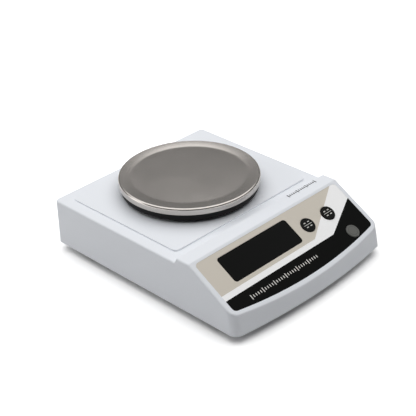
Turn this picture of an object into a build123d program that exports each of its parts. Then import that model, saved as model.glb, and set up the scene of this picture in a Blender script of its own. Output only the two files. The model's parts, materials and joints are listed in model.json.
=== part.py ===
from build123d import *
import math
import os

# Top-loading electronic balance. Millimetres, +Z up, the display faces -Y.
# The origin is on the table, under the middle of the housing.

# Housing, outside
housing_width = 191.4  # across the sides at the lower edge
housing_depth = 234.0  # front middle to back, at the lower edge
front_bow = 7.8  # how far the middle of the front stands past its corners
foot_clearance = 8.0  # table to the lower edge of the housing
rim_height = 51.5  # table to the flat rim round the platform
hump_height = 56.3  # table to the flat top of the display console
side_draft = 0.9  # degrees that the sides lean in
front_lean = 10.0  # degrees that the front leans back
front_corner_radius = 8.0
back_corner_radius = 4.5
edge_round = 1.6  # softening of the top edges
wall = 2.5

# Console on the front of the housing
console_reach = 60.8  # front of the housing to the top of the sloping panel
console_flat = 14.2  # sloping panel to the ramp
ramp_run = 2.3  # plan length of the ramp
panel_angle = 30.1  # degrees

# Raised platform under the pan
platform_side_edge = 12.3  # side of the housing to the platform
platform_front_edge = 9.55  # foot of the ramp to the platform
platform_back_edge = 12.45  # back of the housing to the platform
platform_rise = 1.3
platform_corner = 4.5
collar_bore = 12.0  # radius of the hole that the stem passes
collar_wall = 3.0
collar_rise = 2.5

# Printed film on the sloping panel
panel_margin = 2.8  # console edge to the film
film_edge = 5.7  # side of the housing to the film
film_side = 51.5
film_bow = 8.4
film_corner = 4.0
film_thickness = 0.5
film_recess = 0.6

# Display window
window_width = 85.0
window_height = 26.0
window_corner = 3.0
window_centre = (-26.75, -18.4)  # across and up the panel, from its upper edge
window_flange = 2.0
flange_thickness = 1.0
window_gap = 0.2
digit_count = 6

# Keys
key_radius = 7.15
power_key_radius = 6.45
zero_key_place = (31.9, -21.2)
tare_key_place = (58.9, -21.2)
power_key_place = (66.7, -47.4)
key_rise = 0.7
key_gap = 0.3
key_bevel = 0.4
key_flange = 1.2
key_stem_radius = 2.2
key_travel = 0.5
plunger_radius = 1.7
plunger_height = 1.6
switch_side = 6.0
switch_height = 3.6
running_gap = 0.05  # radial clearance of pieces that slide or turn in each other

# Display board
display_board_edge = 15.7  # side of the housing to the board
display_board_length = 52.0
display_board_top = 2.0  # down the panel from the film's upper edge
display_board_depth = 11.4  # panel face to board, along the panel's normal
board_thickness = 1.6
board_post_radius = 3.0
board_post_inset = 4.0
lower_post_row = 32.0  # down the board to its lower pair of posts
display_face_gap = 0.6

# Base
base_inset_height = 2.0  # the base plate stands this far up inside the skirt
base_thickness = 2.5
base_gap = 0.3
base_rim_height = 5.5
base_rim_thickness = 2.0
rib_height = 3.5
rib_thickness = 1.8
rib_across = 20.0
housing_screw_edge = 9.7  # side of the housing to the screws
housing_screw_front = 25.0
housing_screw_back = 17.0
housing_screw_radius = 1.5
screw_cup_height = 3.5
boss_radius = 4.0
screw_gap = 0.02

# Levelling feet
foot_edge = 15.7  # side of the housing to the feet
foot_front = 40.0
foot_back = 37.0
foot_pad_radius = 8.5
foot_pad_height = 3.0
foot_spigot_radius = 4.0
foot_spigot_height = 1.2
foot_wheel_radius = 11.0
foot_wheel_height = 4.5
foot_stud_radius = 3.0
foot_stud_top = 21.0
foot_notches = 20
foot_notch_depth = 0.8
insert_radius = 4.0
insert_length = 10.0
foot_boss_radius = 8.0
foot_boss_height = 9.5

# Load cell
cell_length = 100.0
cell_width = 24.0
cell_height = 18.0
cell_floor = 23.0  # table to the underside of the cell
cell_end = 20.0  # length clamped at each end
cell_hole_radius = 7.4
cell_hole_spread = 30.0
cell_slot = 5.0
cell_pad_height = 3.5
cell_bolt_radius = 2.5
cell_bolt_spacing = 12.0
carrier_bolt_radius = 2.0
cell_thread_depth = 10.0
gauge_length = 9.0
gauge_width = 12.0
gauge_thickness = 0.4
cell_travel = 0.4  # full-scale drop of the free end, to the overload stop
stop_radius = 2.5
stop_boss_radius = 5.0
stop_boss_height = 5.0
nut_width = 8.0
nut_height = 3.0

# Load carrier, stem and the stirrup for weighing below the balance
carrier_pad = 3.5
carrier_plate = 3.5
carrier_disc_radius = 20.0
stem_radius = 7.0
stem_seat = 5.6  # how far the stem goes into the pan support's hub
stirrup_gap = 2.0
stirrup_thickness = 4.0
stirrup_width = 12.0
stirrup_floor = 18.0
stirrup_bar = 3.5
stirrup_screw_radius = 1.25
hook_wire = 0.9
hook_ring_radius = 2.5
hook_shank_radius = 1.5

# Port for weighing below, with its swivelling cover
port_radius = 10.0
cover_overlap = 3.0
cover_thickness = 1.8
cover_dish = 0.6
cover_pivot_reach = 22.0
cover_ear_radius = 5.0
cover_screw_radius = 1.5
cover_screw_head = 3.5
cover_screw_head_height = 1.4
cover_boss_height = 6.0

# Pan support
support_radius = 63.2
support_top = 66.0
support_height = 9.6
support_wall = 2.4
support_bevel = 1.2
support_hub_radius = 11.0
support_rib_count = 8
support_rib_thickness = 2.0
support_rib_drop = 5.6
pad_radius = 5.0
pad_circle = 50.0
pad_count = 4
pad_height = 2.0
pad_pocket = 1.2

# Weighing pan
pan_radius = 65.0
pan_sheet = 0.8
pan_disc_radius = 53.0
pan_slope_radius = 62.4
pan_dish = 0.9
pan_skirt = 6.3
pan_crest_round = 1.8

# Main board and its sockets
main_board_left = 24.0
main_board_width = 47.0
main_board_length = 113.0
main_board_back_gap = 0.7  # board edge to the inside of the back wall
main_post_height = 6.0
main_post_inset = 4.0
main_post_back = 26.0  # board's back edge to its back pair of posts
board_screw_radius = 1.25
board_screw_head = 2.5
board_screw_head_height = 1.6
inlet_offset = 8.5  # board's left edge to the inlet's axis
inlet_width = 9.0
inlet_height = 11.0
inlet_depth = 13.0
inlet_nose_radius = 4.0
inlet_bore_radius = 2.75
inlet_pin_radius = 1.0
port_offset = 30.0  # board's left edge to the data port's axis
socket_axis_rise = 6.4
data_flange_width = 30.8
data_flange_height = 12.4
data_shell_width = 17.0
data_shell_height = 8.4
data_shell_length = 6.0
data_body_depth = 9.0
data_post_spacing = 25.0
data_post_radius = 2.6
socket_gap = 0.4
cell_socket_inset = 7.0  # board's left edge to the load cell's socket
cell_socket_back = 53.0  # board's back edge to the load cell's socket
cell_socket_depth = 9.0
cable_radius = 1.5
cable_bend = 4.0
ribbon_inset = 16.0  # board's left edge to the flat cable
ribbon_row = -27.0  # up the panel, where the flat cable leaves the display board
ribbon_width = 12.0
ribbon_thickness = 0.8

# Worked out from the sizes above
half_width = housing_width / 2
half_depth = housing_depth / 2
slope_y = console_reach - half_depth
console_y = slope_y + console_flat
ramp_y = console_y + ramp_run
platform_front = ramp_y + platform_front_edge
platform_back = half_depth - platform_back_edge
platform_width = housing_width - 2 * platform_side_edge
platform_depth = platform_back - platform_front
pan_y = (platform_front + platform_back) / 2
film_width = housing_width - 2 * film_edge
display_board_width = housing_width - 2 * display_board_edge
foot_x = half_width - foot_edge
foot_rows = (foot_front - half_depth, half_depth - foot_back)
housing_screw_x = half_width - housing_screw_edge
screw_rows = (housing_screw_front - half_depth, half_depth - housing_screw_back)
housing_screw_rows = (screw_rows[0], (screw_rows[0] + screw_rows[1]) / 2, screw_rows[1])
panel_sin = math.sin(math.radians(panel_angle))
panel_cos = math.cos(math.radians(panel_angle))
panel_origin = (0, slope_y - panel_margin * panel_cos, hump_height - panel_margin * panel_sin)
panel = Plane(origin=panel_origin, x_dir=(1, 0, 0), z_dir=(0, -panel_sin, panel_cos))
base_z = foot_clearance + base_inset_height
base_top = base_z + base_thickness
boss_z = base_top + screw_cup_height
cell_y = pan_y
cell_top = cell_floor + cell_height
free_end_y = cell_y - cell_length / 2 + cell_end / 2
fixed_end_y = cell_y + cell_length / 2 - cell_end / 2
plate_z = cell_top + carrier_pad
plate_top = plate_z + carrier_plate
support_z = support_top - support_height
stem_top = support_z + stem_seat
pan_z = support_top + pad_height - pad_pocket
pan_disc_z = pan_z + pan_sheet
crest_z = pan_disc_z + pan_dish
board_z = base_top + main_post_height
board_top = board_z + board_thickness
back_wall_y = half_depth - wall
board_back = back_wall_y - main_board_back_gap
socket_z = board_top + socket_axis_rise
inlet_x = main_board_left + inlet_offset
data_x = main_board_left + port_offset
ribbon_x = main_board_left + ribbon_inset
cell_socket_x = main_board_left + cell_socket_inset
cell_socket_y = board_back - cell_socket_back
upright = (Align.CENTER, Align.CENTER, Align.MIN)
hanging = (Align.CENTER, Align.CENTER, Align.MAX)
big = 2 * housing_depth  # longer than anything that it cuts
overhang = 20.0  # how far a cutting block reaches past the housing
keys = {
    "zero_key": (zero_key_place, key_radius),
    "tare_key": (tare_key_place, key_radius),
    "power_key": (power_key_place, power_key_radius),
}
feet = {
    "front_left": (-foot_x, foot_rows[0]),
    "front_right": (foot_x, foot_rows[0]),
    "back_left": (-foot_x, foot_rows[1]),
    "back_right": (foot_x, foot_rows[1]),
}
housing_screws = [(side * housing_screw_x, y) for y in housing_screw_rows for side in (-1, 1)]


def post(x, y, z, radius, height):
    return Pos(x, y, z) * Cylinder(radius, height, align=upright)


def block(x, y, z, width, depth, height):
    return Pos(x, y, z) * Box(width, depth, height, align=upright)


def on_panel(place, depth=0.0):
    return panel.location * Pos(place[0], place[1], -depth)


def save(node, *solids):
    shape = solids[0] if len(solids) == 1 else Compound(list(solids))
    shape.label = node
    export_step(shape, f"parts/{node}.step")


# Housing


def plan_outline(z, inset):
    """The housing's outline in plan at a height, drawn in by an inset."""
    rise = z - foot_clearance
    side = half_width - rise * math.tan(math.radians(side_draft)) - inset
    back = half_depth - inset
    corner = front_bow - half_depth + rise * math.tan(math.radians(front_lean)) + inset
    with BuildSketch(Plane.XY.offset(z)) as sketch:
        with BuildLine():
            Polyline((side, corner), (side, back), (-side, back), (-side, corner))
            ThreePointArc((-side, corner), (0, corner - front_bow), (side, corner))
        make_face()
        corners = sketch.vertices().sort_by(Axis.Y)
        fillet(corners[:2], max(front_corner_radius - inset, 1.0))
        fillet(sketch.vertices().sort_by(Axis.Y)[-2:], max(back_corner_radius - inset, 1.0))
    return sketch.sketch


def tapered_block(low, high, inset):
    return loft([plan_outline(low, inset), plan_outline(high, inset)], ruled=True)


def side_profile(drop):
    """What lies under the top surfaces, seen from the side and lowered by a drop."""
    far = half_depth + overhang
    slope_end = slope_y - far
    lowered = drop / panel_cos
    kink = drop * math.tan(math.radians(panel_angle / 2))
    points = [
        (far, foot_clearance - 5.0),
        (far, rim_height - drop),
        (ramp_y - drop, rim_height - drop),
        (console_y - drop, hump_height - drop),
        (slope_y + kink, hump_height - drop),
        (slope_end, hump_height - far * math.tan(math.radians(panel_angle)) - lowered),
        (slope_end, foot_clearance - 5.0),
    ]
    return make_face(Plane.YZ * Polyline(*points, close=True))


def under_tops(drop):
    return extrude(side_profile(drop), amount=half_width + overhang, both=True)


def platform_block(low, inset):
    """The platform's raised step, or the hollow under it when drawn in by an inset."""
    plate = RectangleRounded(platform_width - 2 * inset, platform_depth - 2 * inset, platform_corner - inset)
    return extrude(Pos(0, pan_y, low) * plate, amount=platform_rise + 1)


def film_outline(margin):
    side = film_width / 2 + margin
    low = -film_side - margin
    with BuildSketch() as sketch:
        with BuildLine():
            Polyline((side, low), (side, margin), (-side, margin), (-side, low))
            ThreePointArc((-side, low), (0, low - film_bow), (side, low))
        make_face()
        fillet(sketch.vertices(), film_corner + margin)
    return sketch.sketch


def window_opening(margin):
    width = window_width + 2 * margin
    height = window_height + 2 * margin
    return Pos(*window_centre) * RectangleRounded(width, height, window_corner + margin)


def board_posts():
    across = display_board_width / 2 - board_post_inset
    rows = (-display_board_top - board_post_inset, -display_board_top - lower_post_row)
    return [(side * across, row) for row in rows for side in (-1, 1)]


def top_edges(body):
    """The edges where the upper faces meet the walls."""
    found = []
    for edge in body.edges():
        middle = edge @ 0.5
        on_top = middle.Z > foot_clearance + 8
        inside_side = abs(middle.X) < half_width - 6 and middle.Y > -half_depth + 12
        flat_run = abs((edge @ 0).Z - (edge @ 1).Z) < 0.01 or middle.Y < ramp_y
        if on_top and flat_run and not (inside_side and middle.Y < half_depth - 6):
            found.append(edge)
    return found


def top_housing():
    body = tapered_block(foot_clearance, hump_height + 5, 0) & under_tops(0)
    crests = body.edges().filter_by(Axis.X).filter_by(lambda e: foot_clearance + 12 < (e @ 0.5).Z)
    crests = crests.filter_by(lambda e: (e @ 0.5).Y < ramp_y + 1)
    body = fillet(crests, edge_round)
    body = fillet(top_edges(body), edge_round)
    platform = platform_block(rim_height - 1, 0)
    platform = fillet(platform.faces().sort_by(Axis.Z)[-1].edges(), 0.5)
    body += platform
    body += post(0, pan_y, rim_height, collar_bore + collar_wall, platform_rise + collar_rise)
    inside = tapered_block(foot_clearance - 1, hump_height + 5, wall) & under_tops(wall)
    inside += platform_block(rim_height - wall - 1, wall)
    for x, y in housing_screws:
        boss = post(x, y, boss_z, boss_radius, hump_height)
        inside -= boss
    for place in board_posts():
        inside -= on_panel(place, display_board_depth) * Cylinder(
            board_post_radius, display_board_depth, align=upright
        )
    body -= inside
    body -= post(0, pan_y, rim_height - wall - 5, collar_bore, big)
    body -= extrude(on_panel((0, 0), film_recess) * film_outline(0.1), amount=10)
    body -= extrude(on_panel((0, 0), 10) * window_opening(window_gap), amount=20)
    for place, radius in keys.values():
        body -= on_panel(place, 10) * Cylinder(radius + key_gap, 20, align=upright)
    for x, y in housing_screws:
        body -= post(x, y, boss_z - 1, housing_screw_radius + screw_gap, 11)
    for place in board_posts():
        body -= on_panel(place, display_board_depth) * Cylinder(
            board_screw_radius + screw_gap, 7, align=upright
        )
    body -= Pos(inlet_x, half_depth, socket_z) * Rot(90, 0, 0) * Cylinder(inlet_nose_radius + socket_gap, 12)
    body -= data_shell(socket_gap, 12, half_depth + 3)
    return body


def base_plate():
    clear = wall + base_gap
    body = tapered_block(base_z, base_top, clear)
    rim_top = base_top + base_rim_height
    rim = tapered_block(base_z, rim_top, clear)
    rim -= tapered_block(base_z - 1, rim_top + 1, clear + base_rim_thickness)
    body += rim
    ribs = [block(side * rib_across, 0, base_top - 1, rib_thickness, big, rib_height + 1) for side in (-1, 1)]
    rows = (foot_rows[0] - 12, foot_rows[0] + 30, pan_y - cell_length / 2 - 8, pan_y + cell_length / 2 + 6)
    ribs += [block(0, y, base_top - 1, big, rib_thickness, rib_height + 1) for y in rows]
    inner = tapered_block(base_z, rim_top, clear + base_rim_thickness / 2)
    for rib in ribs:
        body += rib & inner
    for x, y in feet.values():
        body += post(x, y, base_z, foot_boss_radius, base_thickness + foot_boss_height)
    for x, y in housing_screws:
        body += post(x, y, base_z, boss_radius + 1, boss_z - base_z)
    for x, y in main_board_posts():
        body += post(x, y, base_z, board_post_radius, board_z - base_z)
    body += block(0, fixed_end_y, base_z, cell_width + 2, cell_end, base_thickness + cell_pad_height)
    body += post(0, free_end_y, base_z, stop_boss_radius, base_thickness + stop_boss_height)
    body += post(0, pan_y - cover_pivot_reach, base_z, boss_radius, base_thickness + cover_boss_height)
    low = base_z - 1
    for x, y in feet.values():
        body -= post(x, y, low, insert_radius + screw_gap, big)
    for x, y in housing_screws:
        body -= post(x, y, low, housing_screw_radius + running_gap, big)
        body -= post(x, y, low, 2 * housing_screw_radius + 0.6, 1 + base_thickness + 0.5)
    for x, y in main_board_posts():
        body -= post(x, y, board_z - 5, board_screw_radius + screw_gap, 10)
    for y in cell_bolt_rows():
        body -= post(0, y, low, cell_bolt_radius + running_gap, big)
        body -= post(0, y, low, 2 * cell_bolt_radius, 1 + 2 * cell_bolt_radius - 0.5)
    body -= post(0, free_end_y, low, stop_radius + screw_gap, big)
    body -= post(0, pan_y - cover_pivot_reach, low, cover_screw_radius + screw_gap, 1 + base_thickness + 5)
    body -= post(0, pan_y, low, port_radius, big)
    return body


def main_board_posts():
    xs = (main_board_left + main_post_inset, main_board_left + main_board_width - main_post_inset)
    ys = (board_back - main_board_length + main_post_inset, board_back - main_post_back)
    return [(x, y) for y in ys for x in xs]


def cell_bolt_rows():
    return [fixed_end_y + side * cell_bolt_spacing / 2 for side in (-1, 1)]


def carrier_bolt_rows():
    return [free_end_y + side * cell_bolt_spacing / 2 for side in (-1, 1)]


def socket_screw(radius, length, head_radius, head_height):
    """A socket-head screw hanging from the plane under its head."""
    screw = Cylinder(radius, length, align=hanging) + Cylinder(head_radius, head_height, align=upright)
    hexagon = RegularPolygon(radius * 0.85, 6)
    screw -= extrude(Plane.XY.offset(head_height * 0.4) * hexagon, amount=head_height)
    return screw


def board_screw(length):
    head = extrude(RegularPolygon(board_screw_head, 6), amount=board_screw_head_height)
    return Cylinder(board_screw_radius, length, align=hanging) + head


# Console pieces


def control_overlay():
    film = film_outline(0)
    film -= window_opening(window_gap)
    for place, radius in keys.values():
        film -= Pos(*place) * Circle(radius + key_gap)
    return extrude(on_panel((0, 0), film_recess) * film, amount=film_thickness)


def display_window():
    face_depth = film_recess - film_thickness
    lens = extrude(on_panel((0, 0), wall) * window_opening(0), amount=wall - face_depth)
    behind = on_panel((0, 0), wall + flange_thickness)
    flange = extrude(behind * window_opening(window_flange), amount=flange_thickness)
    return lens + flange


def led_module():
    top = wall + flange_thickness + display_face_gap
    height = display_board_depth - top
    width = window_width - 4
    depth = window_height - 4
    module = on_panel(window_centre, display_board_depth) * Box(width, depth, height, align=upright)
    pitch = width / digit_count
    for index in range(digit_count):
        across = (index - (digit_count - 1) / 2) * pitch
        place = (window_centre[0] + across, window_centre[1])
        module -= on_panel(place, top) * Box(pitch - 2.5, depth - 5, 0.8)
    return module


def display_board():
    centre = (0, -display_board_top - display_board_length / 2)
    board = on_panel(centre, display_board_depth) * Box(
        display_board_width, display_board_length, board_thickness, align=hanging
    )
    for place in board_posts():
        board -= on_panel(place, display_board_depth + 5) * Cylinder(
            board_screw_radius + running_gap, 10, align=upright
        )
    return board


def display_board_screws():
    screws = []
    screw = board_screw(board_thickness + 6)
    for place in board_posts():
        screws.append(on_panel(place, display_board_depth + board_thickness) * Rot(180, 0, 0) * screw)
    return screws


def key_cap(place, radius):
    top_depth = wall
    rise = wall + key_rise
    cap = Cylinder(radius, rise, align=upright)
    cap = chamfer(cap.edges().sort_by(Axis.Z)[-1], key_bevel)
    cap += Cylinder(radius + key_flange, flange_thickness, align=hanging)
    stem = switch_top() - top_depth
    cap += Cylinder(key_stem_radius, stem, align=hanging)
    return on_panel(place, top_depth) * cap


def switch_top():
    """Depth of the plungers' tops under the panel's face."""
    return display_board_depth - switch_height - plunger_height / 2


def tact_switch(place):
    body = Box(switch_side, switch_side, switch_height, align=upright)
    depth = plunger_height / 2 + key_travel + 0.3
    body -= post(0, 0, switch_height - depth, plunger_radius + running_gap, depth + 1)
    return on_panel(place, display_board_depth) * body


def switch_plunger(place):
    return on_panel(place, switch_top() + plunger_height) * Cylinder(
        plunger_radius, plunger_height, align=upright
    )


# Load cell and what it carries


def load_cell():
    cell = block(0, cell_y, cell_floor, cell_width, cell_length, cell_height)
    middle = cell_floor + cell_height / 2
    for side in (-1, 1):
        hole = Pos(0, cell_y + side * cell_hole_spread / 2, middle) * Rot(0, 90, 0)
        cell -= hole * Cylinder(cell_hole_radius, cell_width + 2)
    cell -= Pos(0, cell_y, middle) * Box(cell_width + 2, cell_hole_spread, cell_slot)
    for y in cell_bolt_rows():
        cell -= post(0, y, cell_floor - 1, cell_bolt_radius + screw_gap, 1 + cell_thread_depth + 1)
    for y in carrier_bolt_rows():
        cell -= post(0, y, cell_top - cell_thread_depth - 1, carrier_bolt_radius + running_gap, cell_height)
    return cell


def strain_gauges():
    gauges = []
    for side in (-1, 1):
        y = cell_y + side * cell_hole_spread / 2
        gauges.append(block(0, y, cell_top, gauge_width, gauge_length, gauge_thickness))
        gauges.append(block(0, y, cell_floor - gauge_thickness, gauge_width, gauge_length, gauge_thickness))
    return gauges


def cell_spacer():
    low = base_top + cell_pad_height
    spacer = block(0, fixed_end_y, low, cell_width, cell_end, cell_floor - low)
    for y in cell_bolt_rows():
        spacer -= post(0, y, low - 1, cell_bolt_radius + running_gap, big)
    return spacer


def cell_bolts():
    head_height = cell_bolt_radius * 1.6
    seat = base_z + 2 * cell_bolt_radius - 0.5
    length = cell_floor - seat + cell_thread_depth
    bolt = socket_screw(cell_bolt_radius, length, cell_bolt_radius * 1.7, head_height)
    return [Pos(0, y, seat) * Rot(180, 0, 0) * bolt for y in cell_bolt_rows()]


def load_carrier():
    reach = cell_y - (free_end_y - cell_end / 2)
    body = block(0, free_end_y, cell_top, cell_width, cell_end, carrier_pad + carrier_plate)
    body += block(0, cell_y - reach / 2, plate_z, cell_width, reach, carrier_plate)
    body += post(0, pan_y, plate_z, carrier_disc_radius, carrier_plate)
    stem = Cylinder(stem_radius, stem_top - plate_z, align=upright)
    body += Pos(0, pan_y, plate_z) * chamfer(stem.edges().sort_by(Axis.Z)[-1], 1.0)
    for y in carrier_bolt_rows():
        body -= post(0, y, cell_top - 1, carrier_bolt_radius + running_gap, big)
        body -= post(0, y, plate_top - 1.6 * carrier_bolt_radius, 1.7 * carrier_bolt_radius + 0.2, 10)
    for x in stirrup_screw_places():
        body -= post(x, pan_y, plate_z - 1, stirrup_screw_radius + running_gap, 10)
        body -= post(x, pan_y, plate_top - 1.6 * stirrup_screw_radius, 2.0 * stirrup_screw_radius + 0.2, 10)
    return body


def carrier_bolts():
    head_height = 1.6 * carrier_bolt_radius
    seat = plate_top - head_height
    length = seat - cell_top + cell_thread_depth
    bolt = socket_screw(carrier_bolt_radius, length, 1.7 * carrier_bolt_radius, head_height)
    return [Pos(0, y, seat) * bolt for y in carrier_bolt_rows()]


def stirrup_screw_places():
    reach = cell_width / 2 + stirrup_gap + stirrup_thickness / 2
    return [-reach, reach]


def hook_stirrup():
    inner = cell_width / 2 + stirrup_gap
    outer = inner + stirrup_thickness
    height = plate_z - stirrup_floor
    body = block(0, pan_y, stirrup_floor, 2 * outer, stirrup_width, height)
    body = fillet(body.edges().filter_by(Axis.Y).sort_by(Axis.Z)[:2], 2.0)
    body -= block(0, pan_y, stirrup_floor + stirrup_bar, 2 * inner, stirrup_width + 2, height)
    for x in stirrup_screw_places():
        body -= post(x, pan_y, plate_z - 9, stirrup_screw_radius + screw_gap, 20)
    body -= post(0, pan_y, stirrup_floor - 1, hook_shank_radius + screw_gap, 2 + stirrup_bar)
    return body


def stirrup_screws():
    head_height = 1.6 * stirrup_screw_radius
    seat = plate_top - head_height
    screw = socket_screw(stirrup_screw_radius, seat - plate_z + 8, 2.0 * stirrup_screw_radius, head_height)
    return [Pos(x, pan_y, seat) * screw for x in stirrup_screw_places()]


def below_hook():
    ring_z = stirrup_floor - hook_wire * 2 / 3 - hook_ring_radius - hook_wire
    path = CenterArc((0, 0), hook_ring_radius, 90, -290)
    circle = Plane(origin=(0, hook_ring_radius, 0), z_dir=(1, 0, 0)) * Circle(hook_wire)
    ring = sweep(circle, path=path)
    upright_ring = Pos(0, pan_y, ring_z) * Rot(90, 0, 0) * ring
    shank_z = ring_z + hook_ring_radius
    return upright_ring + post(0, pan_y, shank_z, hook_shank_radius, stirrup_floor + stirrup_bar - shank_z)


def overload_stop_screw():
    tip = cell_floor - cell_travel
    length = tip - base_z - 1
    screw = post(0, free_end_y, base_z + 1, stop_radius, length)
    slot = block(0, free_end_y, base_z, 2 * stop_radius + 1, 0.8, 2)
    return screw - slot


def overload_stop_nut():
    nut = extrude(RegularPolygon(nut_width / 2, 6, major_radius=False), amount=nut_height)
    nut -= Cylinder(stop_radius + screw_gap, 20)
    return Pos(0, free_end_y, base_top + stop_boss_height) * nut


# Weigh-below port


def port_cover():
    seat = Plane.XY.offset(base_z - cover_thickness)
    with BuildSketch(seat) as sketch:
        with Locations((0, pan_y)):
            Circle(port_radius + cover_overlap)
        with Locations((0, pan_y - cover_pivot_reach)):
            Circle(cover_ear_radius)
        make_hull()
    cover = extrude(sketch.sketch, amount=cover_thickness)
    cover -= post(0, pan_y, base_z - cover_dish, port_radius - 1, 5)
    cover -= post(0, pan_y - cover_pivot_reach, 0, cover_screw_radius + running_gap, big)
    return cover


def port_cover_screw():
    length = cover_thickness + base_thickness + 4.5
    screw = socket_screw(cover_screw_radius, length, cover_screw_head, cover_screw_head_height)
    return Pos(0, pan_y - cover_pivot_reach, base_z - cover_thickness) * Rot(180, 0, 0) * screw


# Feet


def foot_wheel(x, y):
    rim = []
    for index in range(3 * foot_notches):
        angle = math.radians(index * 120 / foot_notches)
        radius = foot_wheel_radius - (foot_notch_depth if index % 3 == 0 else 0)
        rim.append((radius * math.cos(angle), radius * math.sin(angle)))
    wheel = extrude(make_face(Polyline(*rim, close=True)), amount=foot_wheel_height)
    wheel += Cylinder(foot_stud_radius, foot_stud_top - foot_pad_height, align=upright)
    wheel -= Cylinder(foot_spigot_radius + running_gap, 2 * (foot_spigot_height + 0.2))
    return Pos(x, y, foot_pad_height) * wheel


def foot_pad(x, y):
    pad = Cylinder(foot_pad_radius, foot_pad_height, align=upright)
    pad = chamfer(pad.edges().sort_by(Axis.Z)[0], 0.8)
    pad += post(0, 0, foot_pad_height, foot_spigot_radius, foot_spigot_height)
    return Pos(x, y, 0) * pad


def foot_inserts():
    ring = Cylinder(insert_radius, insert_length, align=upright)
    ring -= Cylinder(foot_stud_radius + running_gap, 3 * insert_length)
    return [Pos(x, y, base_z) * ring for x, y in feet.values()]


def housing_screw_group():
    seat = base_top + 0.5
    length = boss_z - seat + 9
    screw = socket_screw(housing_screw_radius, length, 2 * housing_screw_radius, 1.8)
    return [Pos(x, y, seat) * Rot(180, 0, 0) * screw for x, y in housing_screws]


# Pan and its support


def pan_support():
    body = post(0, pan_y, support_z, support_radius, support_height)
    body = chamfer(body.edges().sort_by(Axis.Z)[-1], support_bevel)
    body -= post(0, pan_y, support_z - 1, support_radius - support_wall, 1 + support_height - support_wall)
    hub_height = support_height - support_wall / 2
    body += post(0, pan_y, support_z, support_hub_radius, hub_height)
    for index in range(support_rib_count):
        length = support_radius - support_wall / 2
        rib = Pos(length / 2, 0, 0) * Box(length, support_rib_thickness, support_rib_drop, align=upright)
        turned = Rot(0, 0, index * 360 / support_rib_count) * rib
        body += Pos(0, pan_y, support_top - support_wall / 2 - support_rib_drop) * turned
    body -= post(0, pan_y, support_z - 1, stem_radius + running_gap, 1 + stem_top - support_z)
    for x, y in pad_places():
        body -= post(x, y, support_top - pad_pocket, pad_radius + 0.1, 5)
    return body


def pad_places():
    turn = 360 / pad_count
    angles = [math.radians(turn * (index + 0.5)) for index in range(pad_count)]
    return [(pad_circle * math.cos(a), pan_y + pad_circle * math.sin(a)) for a in angles]


def support_pads():
    return [post(x, y, support_top - pad_pocket, pad_radius, pad_height) for x, y in pad_places()]


def weighing_pan():
    low = crest_z - pan_skirt
    inner = pan_radius - pan_sheet
    points = [
        (0, pan_disc_z),
        (pan_disc_radius, pan_disc_z),
        (pan_slope_radius, crest_z),
        (pan_radius, crest_z),
        (pan_radius, low),
        (inner, low),
        (inner, crest_z - pan_sheet),
        (pan_slope_radius, crest_z - pan_sheet),
        (pan_disc_radius, pan_disc_z - pan_sheet),
        (0, pan_disc_z - pan_sheet),
    ]
    with BuildSketch(Plane.XZ) as sketch:
        with BuildLine():
            Polyline(*points, close=True)
        make_face()
        corner = sketch.vertices().filter_by(lambda v: abs(v.X - pan_radius) < 0.01).sort_by(Axis.Y)[-1]
        fillet(corner, pan_crest_round)
        corner = sketch.vertices().filter_by(lambda v: abs(v.X - inner) < 0.01).sort_by(Axis.Y)[-1]
        fillet(corner, pan_crest_round - pan_sheet)
    return Pos(0, pan_y, 0) * revolve(sketch.sketch, Axis.Z)


# Main board and sockets


def main_board():
    centre_x = main_board_left + main_board_width / 2
    centre_y = board_back - main_board_length / 2
    board = block(centre_x, centre_y, board_z, main_board_width, main_board_length, board_thickness)
    for x, y in main_board_posts():
        board -= post(x, y, board_z - 1, board_screw_radius + running_gap, 10)
    return board


def main_board_screws():
    screw = board_screw(board_thickness + 4)
    return [Pos(x, y, board_top) * screw for x, y in main_board_posts()]


def main_board_parts():
    """Chips, buzzer, capacitor and the two cable sockets, set out from the board's edges."""
    left = main_board_left
    front = board_back - main_board_length
    return [
        block(left + 24, board_back - 79, board_top, 12, 12, 1.6),
        block(left + 24, board_back - 57, board_top, 8, 10, 1.8),
        block(left + 10, board_back - 69, board_top, 5, 6, 2.0),
        post(left + 38, board_back - 83, board_top, 6, 7.5),
        post(left + 36, board_back - 35, board_top, 4, 10),
        block(ribbon_x, front + 3, board_top, ribbon_width + 3, 6, 4.5),
        block(cell_socket_x, cell_socket_y, board_top, 6, cell_socket_depth, 5),
    ]


def dc_inlet():
    body = block(inlet_x, back_wall_y - inlet_depth / 2, board_top, inlet_width, inlet_depth, inlet_height)
    nose = Pos(inlet_x, back_wall_y - 1, socket_z) * Rot(-90, 0, 0)
    body += nose * Cylinder(inlet_nose_radius, wall + 1 - 0.3, align=upright)
    body -= nose * Cylinder(inlet_bore_radius, 9, align=upright)
    body -= nose * Pos(0, 0, -8) * Cylinder(inlet_bore_radius, 9, align=upright)
    pin = nose * Pos(0, 0, -8.5) * Cylinder(inlet_pin_radius, 10.5, align=upright)
    return body + pin


def data_shell(margin, length, front_y):
    """The D-shaped sleeve of the data port, from its open face inwards."""
    half = data_shell_width / 2 + margin
    rise = data_shell_height / 2 + margin
    lean = data_shell_height * math.tan(math.radians(10))
    points = [(-half, rise), (half, rise), (half - lean, -rise), (-half + lean, -rise)]
    with BuildSketch(Plane.XZ) as sketch:
        with BuildLine():
            Polyline(*points, close=True)
        make_face()
        fillet(sketch.vertices(), 2.2)
    sleeve = extrude(sketch.sketch, amount=length)
    return Pos(data_x, front_y, socket_z) * sleeve


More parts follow.
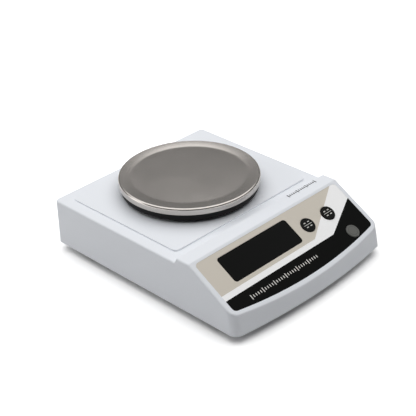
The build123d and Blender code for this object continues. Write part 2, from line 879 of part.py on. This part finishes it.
def data_port():
    flange_y = half_depth - 0.3 - data_shell_length
    body = data_shell(0, data_shell_length, half_depth - 0.3)
    body -= data_shell(-0.6, data_shell_length - 1, half_depth - 0.3 + 0.01)
    flange_z = socket_z - data_flange_height / 2
    body += block(data_x, flange_y - 0.5, flange_z, data_flange_width, 1.0, data_flange_height)
    body_y = flange_y - 1 - data_body_depth / 2
    body += block(data_x, body_y, board_top, data_shell_width, data_body_depth, socket_axis_rise + 3)
    for x in data_post_places():
        body -= Pos(x, flange_y, socket_z) * Rot(90, 0, 0) * Cylinder(1.4, 10)
    for row, count in ((1.4, 5), (-1.4, 4)):
        for index in range(count):
            x = data_x + (index - (count - 1) / 2) * 2.77
            pin = Pos(x, flange_y - 0.1, socket_z + row) * Rot(-90, 0, 0)
            body += pin * extrude(RegularPolygon(0.5, 6), amount=4.5)
    return body


def data_post_places():
    return [data_x - data_post_spacing / 2, data_x + data_post_spacing / 2]


def data_port_posts():
    flange_y = half_depth - 0.3 - data_shell_length
    hexagon = RegularPolygon(data_post_radius, 6, major_radius=False)
    length = back_wall_y - flange_y - 0.1
    nut = extrude(hexagon, amount=length) + Cylinder(1.35, 5, align=hanging)
    return [Pos(x, flange_y, socket_z) * Rot(-90, 0, 0) * nut for x in data_post_places()]


def cell_cable():
    """From the fixed end of the cell to its socket on the main board."""
    middle = cell_floor + cell_height / 2
    socket_face = cell_socket_y + cell_socket_depth / 2
    entry = board_top + 2.5
    start = (cell_width / 2, fixed_end_y, middle)
    corner = (cell_socket_x, fixed_end_y, middle)
    drop = (cell_socket_x, (socket_face + fixed_end_y) / 2 + 1, entry)
    path = FilletPolyline(start, corner, drop, (cell_socket_x, socket_face, entry), radius=cable_bend)
    section = Plane(origin=start, z_dir=(1, 0, 0)) * Circle(cable_radius)
    return sweep(section, path=path)


def display_cable():
    """Flat cable from the back of the display board to the main board's front edge."""
    front = board_back - main_board_length
    start = on_panel((ribbon_x, ribbon_row), display_board_depth + board_thickness + 4.6).position
    points = [
        (ribbon_x, start.Y, start.Z),
        (ribbon_x, start.Y + 5, board_top),
        (ribbon_x, front - 12, board_top - 1),
        (ribbon_x, front - 0.4, board_top + 2.2),
    ]
    path = FilletPolyline(*points, radius=3)
    section = Rectangle(ribbon_width, ribbon_thickness)
    return sweep(Plane(origin=path @ 0, x_dir=(1, 0, 0), z_dir=path % 0) * section, path=path)


def display_cable_plug():
    plug = Box(ribbon_width + 3, 5, 4, align=hanging)
    return on_panel((ribbon_x, ribbon_row), display_board_depth + board_thickness) * plug


os.makedirs("parts", exist_ok=True)
save("top_housing", top_housing())
save("base_plate", base_plate())
save("control_overlay", control_overlay())
save("display_window", display_window())
save("led_module", led_module())
save("display_board", display_board())
save("display_board_screws", *display_board_screws())
save("tact_switches", *[tact_switch(place) for place, radius in keys.values()])
for name, (place, radius) in keys.items():
    save(name, key_cap(place, radius))
    save(f"{name}_plunger", switch_plunger(place))
save("load_cell", load_cell())
save("strain_gauges", *strain_gauges())
save("cell_spacer", cell_spacer())
save("cell_bolts", *cell_bolts())
save("load_carrier", load_carrier())
save("carrier_bolts", *carrier_bolts())
save("hook_stirrup", hook_stirrup())
save("stirrup_screws", *stirrup_screws())
save("below_hook", below_hook())
save("overload_stop_screw", overload_stop_screw())
save("overload_stop_nut", overload_stop_nut())
save("port_cover", port_cover())
save("port_cover_screw", port_cover_screw())
for name, (x, y) in feet.items():
    save(f"foot_wheel_{name}", foot_wheel(x, y))
    save(f"foot_pad_{name}", foot_pad(x, y))
save("foot_inserts", *foot_inserts())
save("housing_screws", *housing_screw_group())
save("pan_support", pan_support())
save("support_pads", *support_pads())
save("weighing_pan", weighing_pan())
save("main_board", main_board())
save("main_board_screws", *main_board_screws())
save("main_board_parts", *main_board_parts())
save("dc_inlet", dc_inlet())
save("data_port", data_port())
save("data_port_posts", *data_port_posts())
save("cell_cable", cell_cable())
save("display_cable", display_cable())
save("display_cable_plug", display_cable_plug())
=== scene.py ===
import bpy
import json
import math
from mathutils import Matrix, Vector


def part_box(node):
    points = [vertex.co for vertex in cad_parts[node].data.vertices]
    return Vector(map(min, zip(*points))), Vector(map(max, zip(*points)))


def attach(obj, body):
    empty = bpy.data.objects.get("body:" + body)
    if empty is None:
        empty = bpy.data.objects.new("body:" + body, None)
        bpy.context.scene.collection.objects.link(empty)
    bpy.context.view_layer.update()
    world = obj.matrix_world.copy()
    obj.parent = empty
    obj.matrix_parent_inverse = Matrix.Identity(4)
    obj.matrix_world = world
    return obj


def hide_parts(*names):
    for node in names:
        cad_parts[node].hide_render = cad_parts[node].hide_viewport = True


# Looks of the electronic balance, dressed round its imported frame. Metres, display towards -Y.

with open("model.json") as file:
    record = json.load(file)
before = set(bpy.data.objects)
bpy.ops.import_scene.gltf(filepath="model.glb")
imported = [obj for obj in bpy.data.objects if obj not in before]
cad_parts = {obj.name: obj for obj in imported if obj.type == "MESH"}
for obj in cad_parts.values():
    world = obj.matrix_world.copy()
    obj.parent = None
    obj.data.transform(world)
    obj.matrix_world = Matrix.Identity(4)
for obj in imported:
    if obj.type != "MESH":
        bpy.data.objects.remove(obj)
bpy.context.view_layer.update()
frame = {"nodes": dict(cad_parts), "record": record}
nodes = frame["nodes"]
scene = bpy.context.scene
scene.view_settings.view_transform = "Standard"
mm = 0.001
print("stage: frame loaded,", len(nodes), "nodes")

# Places read off the frame: the pan, and the console's panel by the film that covers it

panLow, panHigh = (Vector(p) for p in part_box("weighing_pan"))
panCentre = (panLow + panHigh) / 2
housingTop = Vector(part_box("top_housing")[1]).z
filmHigh = Vector(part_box("control_overlay")[1])
filmThickness = 0.5 * mm
panelTilt = math.radians(30.1)
panelUp = Vector((0, math.cos(panelTilt), math.sin(panelTilt)))
panelOut = Vector((0, -math.sin(panelTilt), math.cos(panelTilt)))
# Middle of the panel's upper edge
panelEdge = Vector((0, filmHigh.y - filmThickness * math.sin(panelTilt), filmHigh.z))
onPanel = Matrix((Vector((1, 0, 0)), panelUp, panelOut)).transposed().to_4x4()
onPanel.translation = panelEdge


# A key's centre across and up the panel, in mm
def keyPlace(node):
    low, high = (Vector(p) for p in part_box(node))
    place = onPanel.inverted() @ ((low + high) / 2)
    return place.x / mm, place.y / mm


# Camera at the photograph's place

view = {
    "place": (-0.6389, -0.6395, 0.5807),
    "azimuth": -44.324,  # degrees, as the three angles are
    "elevation": 30.588,
    "roll": -2.333,
    "lens": 101.06,  # mm
    "sensorWidth": 36,
    "nearest": 0.01,
}


def addCamera():
    azimuth = math.radians(view["azimuth"])
    elevation = math.radians(view["elevation"])
    roll = math.radians(view["roll"])
    flat = math.cos(elevation)
    back = Vector((math.sin(azimuth) * flat, -math.cos(azimuth) * flat, math.sin(elevation)))
    right = Vector((math.cos(azimuth), math.sin(azimuth), 0))
    up = back.cross(right)
    turnedRight = math.cos(roll) * right + math.sin(roll) * up
    turnedUp = math.cos(roll) * up - math.sin(roll) * right
    data = bpy.data.cameras.new("camera")
    data.lens = view["lens"]
    data.sensor_width = view["sensorWidth"]
    data.clip_start = view["nearest"]
    camera = bpy.data.objects.new("camera", data)
    turned = Matrix((turnedRight, turnedUp, back)).transposed().to_4x4()
    camera.matrix_world = Matrix.Translation(view["place"]) @ turned
    scene.collection.objects.link(camera)
    scene.camera = camera


# Lights and floor

studio = {
    "skyNear": 0.02,  # strength of the sky behind the camera
    "skyFar": 0.27,  # and beyond the balance
    "lamps": {  # place, diameter, power
        "overhead": ((0.12, 0.15, 1.5), 3.2, 36.5),
        "left": ((-1.1, 1.1, 0.5), 1.0, 5.0),
        "right": ((1.1, -1.1, 0.5), 1.0, 0.3),
    },
    "aim": (0, 0, 0.03),  # where the lamps point
    "floorSize": 12.0,
    "floorSeen": 1.45,  # shade of the paper that the camera and reflections see
    "floorLit": 0.6,  # and that the balance gets its light from
}


def addLamp(name, place, diameter, power):
    data = bpy.data.lights.new(name, "AREA")
    data.shape = "DISK"
    data.size = diameter
    data.energy = power
    lamp = bpy.data.objects.new(name, data)
    lamp.location = place
    towards = Vector(studio["aim"]) - Vector(place)
    lamp.rotation_euler = towards.to_track_quat("-Z", "Y").to_euler()
    scene.collection.objects.link(lamp)


# sRGB hex to linear RGBA, darkened by a share
def linear(hexColour, share=1.0):
    parts = [int(hexColour[i:i + 2], 16) / 255 for i in (1, 3, 5)]
    colour = [c / 12.92 if c <= 0.04045 else ((c + 0.055) / 1.055) ** 2.4 for c in parts]
    return [c * share for c in colour] + [1.0]


# Give a socket a number, a colour, or another node's output
def feed(tree, socket, source):
    if isinstance(source, (int, float, list)):
        socket.default_value = source
    else:
        tree.links.new(source, socket)


# A node with its settings, what feeds its sockets, and its input values by name
def addNode(tree, kind, settings=None, sources=None, **values):
    node = tree.nodes.new(kind)
    for key, value in (settings or {}).items():
        setattr(node, key, value)
    for key, source in (sources or {}).items():
        feed(tree, node.inputs[key], source)
    for key, value in values.items():
        node.inputs[key.replace("_", " ")].default_value = value
    return node


# One step of arithmetic on outputs and plain numbers
def calc(tree, operation, *sources):
    node = addNode(tree, "ShaderNodeMath", {"operation": operation}, dict(enumerate(sources)))
    return node.outputs[0]


def newMaterial(name):
    material = bpy.data.materials.new(name)
    material.use_nodes = True
    tree = material.node_tree
    tree.nodes.clear()
    return material, tree, tree.nodes.new("ShaderNodeOutputMaterial")


# White sky that brightens away from the camera
def addSky():
    world = bpy.data.worlds.new("studio")
    world.use_nodes = True
    tree = world.node_tree
    tree.nodes.clear()
    out = tree.nodes.new("ShaderNodeOutputWorld")
    azimuth = math.radians(view["azimuth"])
    away = addNode(tree, "ShaderNodeVectorMath", {"operation": "DOT_PRODUCT"},
                   {0: addNode(tree, "ShaderNodeTexCoord").outputs["Generated"]})
    away.inputs[1].default_value = (-math.sin(azimuth), math.cos(azimuth), 0)
    strength = addNode(tree, "ShaderNodeMapRange", None, {"Value": away.outputs["Value"]},
                       From_Min=-1.0, To_Min=studio["skyNear"], To_Max=studio["skyFar"])
    sky = addNode(tree, "ShaderNodeBackground", None, {"Strength": strength.outputs[0]},
                  Color=(1, 1, 1, 1))
    tree.links.new(sky.outputs[0], out.inputs[0])
    scene.world = world


# White paper that the camera sees a little brighter than it lights the balance
def addFloor():
    half = studio["floorSize"] / 2
    corners = [(-half, -half, 0), (half, -half, 0), (half, half, 0), (-half, half, 0)]
    mesh = bpy.data.meshes.new("floor")
    mesh.from_pydata(corners, [], [(0, 1, 2, 3)])
    floor = bpy.data.objects.new("floor", mesh)
    scene.collection.objects.link(floor)
    material, tree, out = newMaterial("white background paper")
    path = addNode(tree, "ShaderNodeLightPath")
    seen = calc(tree, "MAXIMUM", path.outputs["Is Camera Ray"], path.outputs["Is Glossy Ray"])
    shade = addNode(tree, "ShaderNodeMapRange", None, {"Value": seen},
                    To_Min=studio["floorLit"], To_Max=studio["floorSeen"])
    paper = addNode(tree, "ShaderNodeBsdfDiffuse", None, {"Color": shade.outputs[0]})
    tree.links.new(paper.outputs[0], out.inputs[0])
    mesh.materials.append(material)


addCamera()
addSky()
addFloor()
for lampName, (place, diameter, power) in studio["lamps"].items():
    addLamp(lampName, place, diameter, power)
print("stage: camera, light and floor")


# Materials

def objectCoords(tree):
    return addNode(tree, "ShaderNodeTexCoord").outputs["Object"]


def noise(tree, scale, detail=2.0):
    cloud = addNode(tree, "ShaderNodeTexNoise", None, {"Vector": objectCoords(tree)},
                    Scale=scale, Detail=detail)
    return cloud.outputs[0]


# Noise spread about a middle value, as a roughness that varies over the surface
def varied(tree, source, middle, spread, start=0.0, end=1.0):
    ranged = addNode(tree, "ShaderNodeMapRange", None, {"Value": source}, From_Min=start,
                     From_Max=end, To_Min=middle - spread, To_Max=middle + spread)
    return ranged.outputs[0]


def bump(tree, height, strength, distance):
    relief = addNode(tree, "ShaderNodeBump", None, {"Height": height},
                     Strength=strength, Distance=distance)
    return relief.outputs[0]


# The first colour where the share is 0, and the second where it is 1
def blend(tree, share, first, second):
    mixed = addNode(tree, "ShaderNodeMix", {"data_type": "RGBA"}, {0: share, 6: first, 7: second})
    return mixed.outputs[2]


# The shader at the end of each material; colour and roughness are outputs or values
def finish(material, tree, out, colour, roughness, normal=None, metallic=0.0, specular=0.5):
    shader = addNode(tree, "ShaderNodeBsdfPrincipled", None,
                     {"Base Color": colour, "Roughness": roughness}, Metallic=metallic)
    shader.inputs["Specular IOR Level"].default_value = specular
    if normal is not None:
        tree.links.new(normal, shader.inputs["Normal"])
    tree.links.new(shader.outputs[0], out.inputs[0])
    return material


mouldMarks = {
    "flowScale": 14.0,  # flow marks to the metre
    "flowShade": 0.975,
    "sheenSpread": 0.04,
    "grainStrength": 10,  # bump strength to 1 mm of grain depth
}


# Injection-moulded plastic: spark-eroded grain breaks up the sheen, faint flow marks shade it
def moulded(name, colour, rough=0.45, grain=0.5, depth=0.02, specular=0.4):
    material, tree, out = newMaterial(name)
    fine = noise(tree, 1 / (grain * mm))
    flow = noise(tree, mouldMarks["flowScale"])
    tone = blend(tree, flow, linear(colour, mouldMarks["flowShade"]), linear(colour))
    roughness = varied(tree, flow, rough, mouldMarks["sheenSpread"])
    relief = bump(tree, fine, depth * mouldMarks["grainStrength"], depth * mm)
    return finish(material, tree, out, tone, roughness, relief, specular=specular)


metalWear = {
    "sheenSpread": 0.08,
    "reliefStrength": 0.05,
    "reliefDepth": 0.05,  # mm
}


# Machined, cast or plated metal: blotchy roughness keeps its reflections from looking new
def metal(name, colour, rough=0.3, grain=1.2):
    material, tree, out = newMaterial(name)
    wear = noise(tree, 1 / (grain * mm), 3.0)
    roughness = varied(tree, wear, rough, metalWear["sheenSpread"])
    relief = bump(tree, wear, metalWear["reliefStrength"], metalWear["reliefDepth"] * mm)
    return finish(material, tree, out, linear(colour), roughness, relief, metallic=1.0)


panRings = {
    "pitch": 0.8,  # mm between rings
    "detail": 4.0,
    "fineness": 0.7,
    "cloudScale": 30.0,
    "cloudShare": 0.6,
    "noiseRange": (0.4, 1.2),
    "sheenSpread": 0.05,
    "reliefStrength": 0.15,
    "reliefDepth": 0.02,  # mm
}


# Stainless sheet spun on a lathe: fine rings round the pan's axis draw its reflections out
def spunSteel(name, colour, rough):
    material, tree, out = newMaterial(name)
    centred = addNode(tree, "ShaderNodeMapping", None, {"Vector": objectCoords(tree)},
                      Location=(-panCentre.x, -panCentre.y, 0))
    parts = addNode(tree, "ShaderNodeSeparateXYZ", None, {0: centred.outputs[0]})
    flat = addNode(tree, "ShaderNodeCombineXYZ", None,
                   {"X": parts.outputs["X"], "Y": parts.outputs["Y"]})
    radius = addNode(tree, "ShaderNodeVectorMath", {"operation": "LENGTH"}, {0: flat.outputs[0]})
    rings = addNode(tree, "ShaderNodeTexNoise", {"noise_dimensions": "1D"},
                    {"W": radius.outputs["Value"]}, Scale=1 / (panRings["pitch"] * mm),
                    Detail=panRings["detail"], Roughness=panRings["fineness"]).outputs[0]
    cloud = noise(tree, panRings["cloudScale"], 3.0)
    both = calc(tree, "MULTIPLY_ADD", cloud, panRings["cloudShare"], rings)
    roughness = varied(tree, both, rough, panRings["sheenSpread"], *panRings["noiseRange"])
    relief = bump(tree, rings, panRings["reliefStrength"], panRings["reliefDepth"] * mm)
    return finish(material, tree, out, linear(colour), roughness, relief, metallic=1.0)


boardTracks = {
    "pitch": 2.4,  # mm
    "perBrick": 4,  # tracks to one brick of the pattern
    "gap": 0.03,
    "trackShade": 0.85,
    "gapShade": 0.6,
}


# Circuit board: fine tracks show as a slightly darker weave under the green resist
def solderResist(name, colour):
    material, tree, out = newMaterial(name)
    tracks = addNode(tree, "ShaderNodeTexBrick", None, {
        "Vector": objectCoords(tree),
        "Color1": linear(colour),
        "Color2": linear(colour, boardTracks["trackShade"]),
        "Mortar": linear(colour, boardTracks["gapShade"]),
    }, Scale=1 / (boardTracks["pitch"] * mm) / boardTracks["perBrick"], Mortar_Size=boardTracks["gap"])
    return finish(material, tree, out, tracks.outputs["Color"], 0.3)


# Across and up the panel, in mm from the middle of its upper edge
def panelCoords(tree):
    turned = addNode(tree, "ShaderNodeMapping", None, {"Vector": objectCoords(tree)},
                     Rotation=(-panelTilt, 0, 0), Scale=(1 / mm, 1 / mm, 1 / mm))
    edge = Matrix.Rotation(-panelTilt, 3, "X") @ panelEdge
    turned.inputs["Location"].default_value = -edge / mm
    parts = addNode(tree, "ShaderNodeSeparateXYZ", None, {0: turned.outputs[0]})
    return parts.outputs["X"], parts.outputs["Y"]


filmPrint = {
    "beige": "#D6CFC3",
    "band": "#FFFFFF",
    "black": "#0B0C0B",
    "beigeEdge": (-35.3, 27.0, 0.624),  # height, where it turns up to the right, slope from there
    "blackEdge": (-40.6, 46.9, 0.510),
    "grain": 0.3,  # mm
    "reliefStrength": 0.1,
    "reliefDepth": 0.01,  # mm
    "roughness": 0.42,
    "specular": 0.04,
}


# Reverse-printed polyester: three flat inks under a matt face that only softly reflects
def printedFilm(name):
    material, tree, out = newMaterial(name)
    across, up = panelCoords(tree)
    inks = []
    for height, turn, slope in (filmPrint["beigeEdge"], filmPrint["blackEdge"]):
        rising = calc(tree, "MULTIPLY_ADD", across, slope, height - turn * slope)
        edge = calc(tree, "MAXIMUM", rising, height)
        inks.append(calc(tree, "GREATER_THAN", up, edge))
    lower = blend(tree, inks[1], linear(filmPrint["black"]), linear(filmPrint["band"]))
    upper = blend(tree, inks[0], lower, linear(filmPrint["beige"]))
    matt = noise(tree, 1 / (filmPrint["grain"] * mm), 1.0)
    relief = bump(tree, matt, filmPrint["reliefStrength"], filmPrint["reliefDepth"] * mm)
    return finish(material, tree, out, upper, filmPrint["roughness"], relief,
                  specular=filmPrint["specular"])


keyMarks = {
    "ink": "#D9D9D4",
    "divider": (4.7, 0.22),  # half length and half thickness, mm
    "bars": (2.3, 2.3, 1.1, 0.45),  # place across and up from the middle, half length and thickness
    "roughness": 0.42,
    "specular": 0.08,
}


# 1 within a distance of a line across or up the panel, and 0 beyond it
def within(tree, source, line, distance):
    away = calc(tree, "ABSOLUTE", calc(tree, "SUBTRACT", source, line))
    return calc(tree, "LESS_THAN", away, distance)


# Black ABS with white pad-printed marks: a divider and two plain bars on each side of it
def markedKey(name, colour, places):
    material, tree, out = newMaterial(name)
    across, up = panelCoords(tree)
    marked = 0.0
    for keyAcross, keyUp in places:
        besides = calc(tree, "ABSOLUTE", calc(tree, "SUBTRACT", across, keyAcross))
        above = calc(tree, "ABSOLUTE", calc(tree, "SUBTRACT", up, keyUp))
        length, thickness = keyMarks["divider"]
        divider = calc(tree, "MULTIPLY", calc(tree, "LESS_THAN", besides, length),
                       calc(tree, "LESS_THAN", above, thickness))
        barAcross, barUp, length, thickness = keyMarks["bars"]
        bars = calc(tree, "MULTIPLY", within(tree, besides, barAcross, length),
                    within(tree, above, barUp, thickness))
        marked = calc(tree, "MAXIMUM", calc(tree, "MAXIMUM", divider, bars), marked)
    ink = blend(tree, marked, linear(colour), linear(keyMarks["ink"]))
    return finish(material, tree, out, ink, keyMarks["roughness"], specular=keyMarks["specular"])


keyRing = {
    "radius": 4.4,  # mm
    "halfWidth": 0.25,
    # share of the key's colour kept in the ring of painted groove shade
    "shade": 0.6,
    "roughness": 0.4,
    "specular": 0.3,
}


# Grey ABS with a shallow concentric groove, drawn only as a ring of painted shade: the key's colour
# darkened where the groove's shadow would fall
def ringedKey(name, colour, place):
    material, tree, out = newMaterial(name)
    across, up = panelCoords(tree)
    besides = calc(tree, "SUBTRACT", across, place[0])
    above = calc(tree, "SUBTRACT", up, place[1])
    radius = calc(tree, "SQRT", calc(tree, "ADD", calc(tree, "MULTIPLY", besides, besides),
                                     calc(tree, "MULTIPLY", above, above)))
    paintedGrooveShade = within(tree, radius, keyRing["radius"], keyRing["halfWidth"])
    tone = blend(tree, paintedGrooveShade, linear(colour), linear(colour, keyRing["shade"]))
    return finish(material, tree, out, tone, keyRing["roughness"], specular=keyRing["specular"])


blackKeys = [keyPlace("zero_key"), keyPlace("tare_key")]
looks = {
    "housing_abs": moulded("moulded white ABS", "#E9ECF1"),
    "base_abs": moulded("moulded light grey ABS", "#C9CBCE", rough=0.55),
    "overlay_film": printedFilm("printed polyester film"),
    "window_acrylic": moulded("tinted acrylic", "#080908", rough=0.12, depth=0.0, specular=0.04),
    "module_resin": moulded("display resin", "#101010"),
    "circuit_board": solderResist("green solder resist", "#1B5A2C"),
    "zinc_steel": metal("zinc-plated steel", "#C4C4BE", rough=0.35),
    "switch_resin": moulded("switch resin", "#141414"),
    "key_black": markedKey("printed black key ABS", "#0E0F0E", blackKeys),
    "key_grey": ringedKey("grooved grey key ABS", "#60615D", keyPlace("power_key")),
    "machined_aluminium": metal("milled aluminium", "#D6D8DA", rough=0.32),
    "cast_aluminium": metal("die-cast aluminium", "#BDBDBD", rough=0.5),
    "gauge_sealant": moulded("white silicone", "#ECEBE4", rough=0.5),
    "stirrup_steel": metal("folded steel", "#BFBFBF"),
    "hook_steel": metal("bent steel wire", "#C4C4C4", rough=0.25),
    "brass": metal("turned brass", "#C9A55A"),
    "support_plastic": moulded("black glass-filled nylon", "#0F0F10",
                               rough=0.55, grain=0.8, specular=0.2),
    "pad_rubber": moulded("soft black rubber", "#161616", rough=0.7, specular=0.2),
    "pan_stainless": spunSteel("spun stainless steel", "#BEB9B4", 0.2),
    "component_resin": moulded("component resin", "#1A1A1A"),
    "socket_resin": moulded("socket resin", "#0E0E0E"),
    "port_shell": metal("nickel-plated shell", "#C8CACA"),
    "cable_sheath": moulded("grey cable sheath", "#8E9092", rough=0.6),
    "ribbon_sheath": moulded("flat cable sheath", "#B8B8B2", rough=0.5),
    "foot_plastic": moulded("black foot nylon", "#121212", rough=0.55, specular=0.2),
    "foot_rubber": moulded("foot rubber", "#101010", rough=0.75, specular=0.2),
}

for part in frame["record"]["subparts"]:
    for materialSlot in nodes[part["node"]].material_slots:
        materialSlot.material = looks[part["material_slot"]]
print("stage: materials")


# Weighing pan, spun from one sheet

panSizes = {  # mm
    "sheet": 0.8,
    "dish": 0.9,
    "discRadius": 53.0,
    "slopeRadius": 62.4,
    "discBlend": 0.5,
    "slopeEnd": 0.8,  # where the slope stops short of its radius
    "crestRound": 1.8,
    "crestLean": 100,  # degrees from outwards, where the crest's round begins
    "insideRound": 1.0,
    "lipRound": 0.35,
    "segments": 240,
}


# Points (radius, height) round a centre, between two angles in degrees
def arc(centre, radius, start, end, steps):
    angles = [math.radians(start + (end - start) * i / steps) for i in range(steps + 1)]
    return [(centre[0] + radius * math.cos(a), centre[1] + radius * math.sin(a)) for a in angles]


# The pan's upper face from its middle out over the crest and down, then back inside
def panProfile():
    s = panSizes
    outer = (panHigh.x - panLow.x) / 2 / mm
    crest = panHigh.z / mm
    low = panLow.z / mm
    disc = crest - s["dish"]
    near = s["discBlend"]
    far = 4 * near  # the disc's edge is blended between these two distances
    slope = s["dish"] / (s["slopeRadius"] - s["discRadius"])
    top = [(0, disc), (s["discRadius"] - far, disc), (s["discRadius"] - near, disc)]
    top += [(s["discRadius"] + near, disc + slope * near), (s["discRadius"] + far, disc + slope * far)]
    top += [(s["slopeRadius"] - s["slopeEnd"], crest - s["slopeEnd"] * slope)]
    rim = s["crestRound"]
    top += arc((outer - rim, crest - rim), rim, s["crestLean"], 0, 12)
    lip = s["lipRound"]
    bottom = arc((outer - lip, low + lip), lip, 0, -180, 8)
    inside = outer - s["sheet"]
    under = s["insideRound"]
    bottom += arc((inside - under, crest - s["sheet"] - under), under, 0, s["crestLean"], 6)
    bottom += [(s["discRadius"], disc - s["sheet"]), (0, disc - s["sheet"])]
    return top + bottom


# A closed skin turned about the pan's axis; points at radius 0 are single
def lathe(name, profile, segments):
    points, faces, rings = [], [], []
    for radius, height in profile:
        if radius == 0:
            rings.append([len(points)] * segments)
            points.append((panCentre.x, panCentre.y, height * mm))
            continue
        rings.append(list(range(len(points), len(points) + segments)))
        for index in range(segments):
            angle = 2 * math.pi * index / segments
            points.append((panCentre.x + radius * mm * math.cos(angle),
                           panCentre.y + radius * mm * math.sin(angle), height * mm))
    for inner, outer in zip(rings, rings[1:]):
        for index in range(segments):
            after = (index + 1) % segments
            corners = [inner[index], outer[index], outer[after], inner[after]]
            faces.append(list(dict.fromkeys(corners)))
    mesh = bpy.data.meshes.new(name)
    mesh.from_pydata(points, [], faces)
    mesh.shade_smooth()
    return mesh


def addPiece(name, mesh, material, body):
    mesh.materials.clear()
    mesh.materials.append(material)
    piece = bpy.data.objects.new(name, mesh)
    scene.collection.objects.link(piece)
    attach(piece, body)
    return piece


pan = addPiece("spun_pan", lathe("spun_pan", panProfile(), panSizes["segments"]),
               looks["pan_stainless"], "pan")
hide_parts("weighing_pan")
print("stage: pan")


# Printed marks: two plain scales on the console

marks = {
    "lift": 0.03,  # mm that the print stands on its face
    "titleStart": (-67.0, -49.0),  # across and up the panel, mm
    "titleTicks": (30, 2.84, 0.9, 2.6, 4.6),  # count, pitch, width, short, long
    "labelStart": (43.0, -44.8),  # across and along the console's flat, mm
    "labelTicks": (16, 2.4, 1.1, 2.4, 4.2),
    "longEvery": 5,
    "patch": 0.4,  # mm across a worn patch
    "patchShade": 0.85,
}


# Pad-printed ink, thin and matt, slightly patchy
def markMaterial(name, colour):
    material, tree, out = newMaterial(name)
    patchy = noise(tree, 1 / (marks["patch"] * mm))
    tone = blend(tree, patchy, linear(colour), linear(colour, marks["patchShade"]))
    return finish(material, tree, out, tone, 0.5, specular=0.1)


# Geometry Nodes: a row of upright ticks along X, some of them taller, all in one material
def scaleTree(name):
    tree = bpy.data.node_groups.new(name, "GeometryNodeTree")
    inputs = {"Count": "Int", "Pitch": "Float", "Tick Width": "Float",
              "Short": "Float", "Long": "Float", "Ink": "Material"}
    for title, kind in inputs.items():
        tree.interface.new_socket(title, in_out="INPUT", socket_type="NodeSocket" + kind)
    tree.interface.new_socket("Geometry", in_out="OUTPUT", socket_type="NodeSocketGeometry")
    given = tree.nodes.new("NodeGroupInput").outputs
    step = addNode(tree, "ShaderNodeCombineXYZ", None, {"X": given["Pitch"]})
    row = addNode(tree, "GeometryNodeMeshLine", None,
                  {"Count": given["Count"], "Offset": step.outputs[0]})
    tick = addNode(tree, "GeometryNodeMeshGrid", None, {"Size X": given["Tick Width"]},
                   Size_Y=1.0, Vertices_X=2, Vertices_Y=2)
    index = addNode(tree, "GeometryNodeInputIndex").outputs[0]
    isLong = calc(tree, "LESS_THAN", calc(tree, "MODULO", index, marks["longEvery"]), 0.5)
    height = addNode(tree, "ShaderNodeMapRange", None,
                     {"Value": isLong, "To Min": given["Short"], "To Max": given["Long"]})
    size = addNode(tree, "ShaderNodeCombineXYZ", None, {"Y": height.outputs[0]}, X=1.0, Z=1.0)
    ticks = addNode(tree, "GeometryNodeInstanceOnPoints", None,
                    {"Points": row.outputs[0], "Instance": tick.outputs[0], "Scale": size.outputs[0]})
    rise = addNode(tree, "ShaderNodeCombineXYZ", None,
                   {"Y": calc(tree, "MULTIPLY", height.outputs[0], 0.5)})
    raised = addNode(tree, "GeometryNodeTranslateInstances", None,
                     {"Instances": ticks.outputs[0], "Translation": rise.outputs[0]})
    real = addNode(tree, "GeometryNodeRealizeInstances", None, {"Geometry": raised.outputs[0]})
    inked = addNode(tree, "GeometryNodeSetMaterial", None,
                    {"Geometry": real.outputs[0], "Material": given["Ink"]})
    out = tree.nodes.new("NodeGroupOutput")
    tree.links.new(inked.outputs[0], out.inputs[0])
    return tree


# A row of ticks laid on a face by a matrix, starting at its origin; sizes in mm
def printedScale(name, tree, place, ink, count, pitch, width, short, long):
    holder = bpy.data.objects.new(name, bpy.data.meshes.new(name))
    scene.collection.objects.link(holder)
    modifier = holder.modifiers.new("scale", "NODES")
    modifier.node_group = tree
    sockets = {item.name: item.identifier for item in tree.interface.items_tree
               if item.in_out == "INPUT"}
    values = {"Count": count, "Pitch": pitch * mm, "Tick Width": width * mm,
              "Short": short * mm, "Long": long * mm, "Ink": ink}
    for title, value in values.items():
        modifier[sockets[title]] = value
    evaluated = holder.evaluated_get(bpy.context.evaluated_depsgraph_get())
    mesh = bpy.data.meshes.new_from_object(evaluated)
    bpy.data.objects.remove(holder)
    mesh.transform(place)
    return addPiece(name, mesh, ink, "base")


tickTree = scaleTree("printed scale")
whiteInk = markMaterial("white printed ink", "#E4E4E0")
darkInk = markMaterial("dark printed ink", "#1E1F22")
lift = marks["lift"] * mm
across, up = marks["titleStart"]
titlePlace = onPanel @ Matrix.Translation((across * mm, up * mm, lift))
printedScale("title_scale", tickTree, titlePlace, whiteInk, *marks["titleTicks"])
across, along = marks["labelStart"]
labelPlace = Matrix.Translation((across * mm, along * mm, housingTop + lift))
printedScale("label_scale", tickTree, labelPlace, darkInk, *marks["labelTicks"])
print("stage: printed marks")
